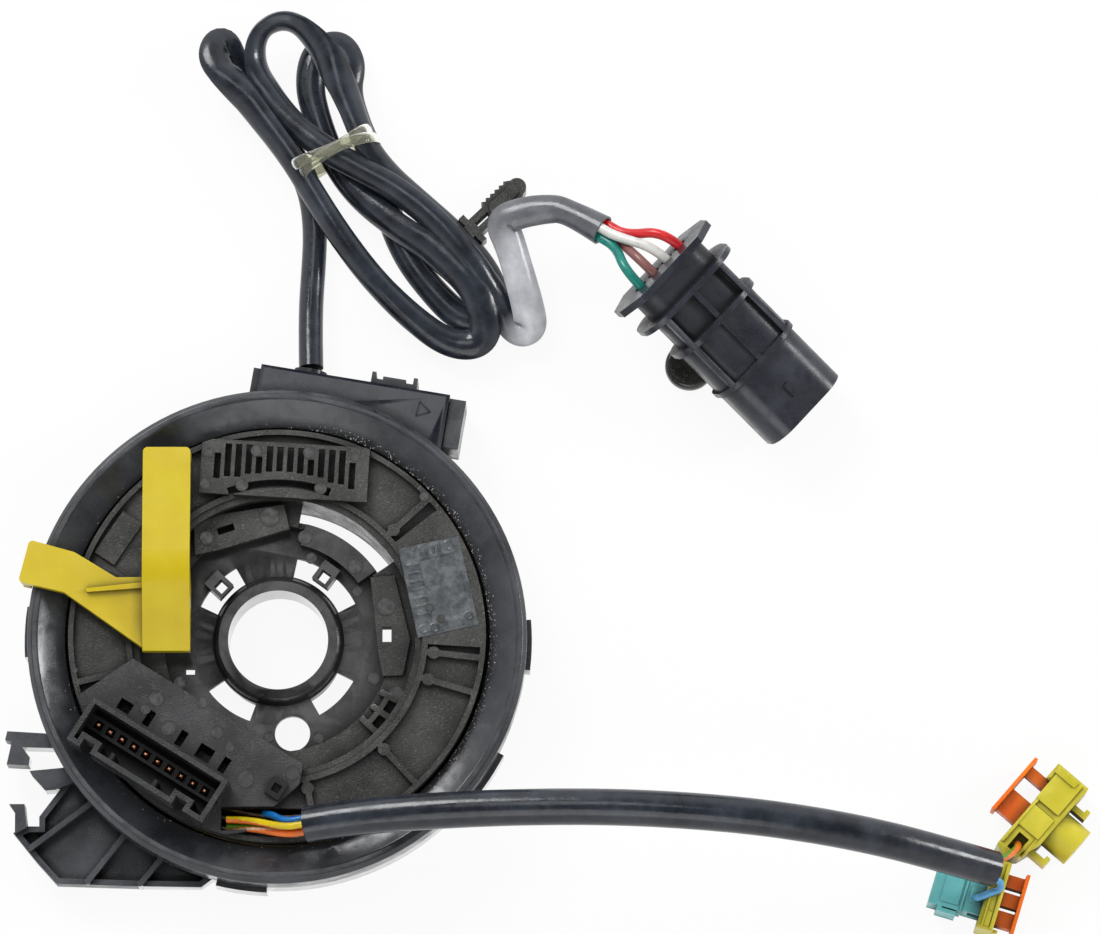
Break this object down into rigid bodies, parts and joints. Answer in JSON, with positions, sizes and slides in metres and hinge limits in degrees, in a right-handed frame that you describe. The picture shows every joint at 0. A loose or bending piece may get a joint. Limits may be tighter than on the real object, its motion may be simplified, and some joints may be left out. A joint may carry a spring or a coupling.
{
  "type": "steering clock spring",
  "caption": "Rotary steering connector: ribbed rotor turning in a round base, wound flat cable inside, angle sensor box, pull-off lock and two leads with plugs.",
  "frame": {"origin": "on the turning axis, at the foot of the hub's bore and level with the surface the base stands on", "axes": "+Z along the turning axis towards the steering wheel; +Y towards the angle sensor box; +X towards the side that the airbag lead leaves on"},
  "size_m": [0.2277, 0.1959, 0.0378],
  "materials": {
    "moulded_black": "fine moulded grain, matt",
    "satin_black": "satin moulded",
    "gloss_black": "semi-gloss moulded",
    "copper_ribbon": "film-covered flat cable",
    "film_label": "worn film label, bare",
    "contact_metal": "plated contact",
    "lock_yellow": "satin moulded",
    "sheath_black": "extruded sheath, soft gloss",
    "sleeve_black": "extruded sleeve, soft gloss",
    "clear_band": "translucent elastic",
    "core_red": "insulation",
    "core_white": "insulation",
    "core_brown": "insulation",
    "core_green": "insulation",
    "core_blue": "insulation",
    "core_yellow": "insulation",
    "core_orange": "insulation with a stripe",
    "core_light_blue": "insulation",
    "plug_yellow": "satin moulded",
    "lock_orange": "satin moulded",
    "plug_teal": "satin moulded"
  },
  "bodies": {
    "stator": {"base_housing": "moulded_black", "ring_cover": "satin_black", "flat_cable": "copper_ribbon", "sensor_housing": "gloss_black", "sensor_bracket": "moulded_black", "sensor_lead": "sheath_black", "lead_hank": "sheath_black", "lead_band": "clear_band", "plug_lead": "sheath_black", "tree_clip": "moulded_black", "plug_body": "satin_black", "plug_retainer": "moulded_black", "plug_pins": "contact_metal", "plug_tree_clip": "moulded_black", "wire_red": "core_red", "wire_white": "core_white", "wire_brown": "core_brown", "wire_green": "core_green"},
    "rotor": {"rotor_face": "moulded_black", "rotor_hub": "moulded_black", "rotor_retainer": "moulded_black", "terminal_cover": "moulded_black", "face_label": "film_label", "header_housing": "moulded_black", "header_pins": "contact_metal", "airbag_lead": "sleeve_black", "wire_blue": "core_blue", "wire_yellow": "core_yellow", "wire_orange": "core_orange", "wire_striped": "core_orange", "squib_plug_upper": "plug_yellow", "squib_plug_lower": "plug_yellow", "horn_plug": "plug_teal", "wire_signal": "core_orange", "wire_ground": "core_light_blue"},
    "transport_lock": {"transport_lock": "lock_yellow"},
    "upper_squib_lock": {"squib_lock_upper": "lock_orange"},
    "lower_squib_lock": {"squib_lock_lower": "lock_orange"}
  },
  "joints": [
    {"name": "rotor_turn", "type": "hinge", "parent": "stator", "child": "rotor", "pos_m": [0, 0, 0], "axis": [0, 0, 1], "range_deg": [-900, 900], "deforming": ["flat_cable"]},
    {"name": "lock_lift", "type": "slide", "parent": "rotor", "child": "transport_lock", "axis": [0, 0, 1], "range_m": [0, 0.03]},
    {"name": "upper_lock_push", "type": "slide", "parent": "rotor", "child": "upper_squib_lock", "axis": [0.7547, -0.6561, 0], "range_m": [0, 0.0035]},
    {"name": "lower_lock_push", "type": "slide", "parent": "rotor", "child": "lower_squib_lock", "axis": [-0.9563, 0.2924, 0], "range_m": [0, 0.0033]}
  ]
}
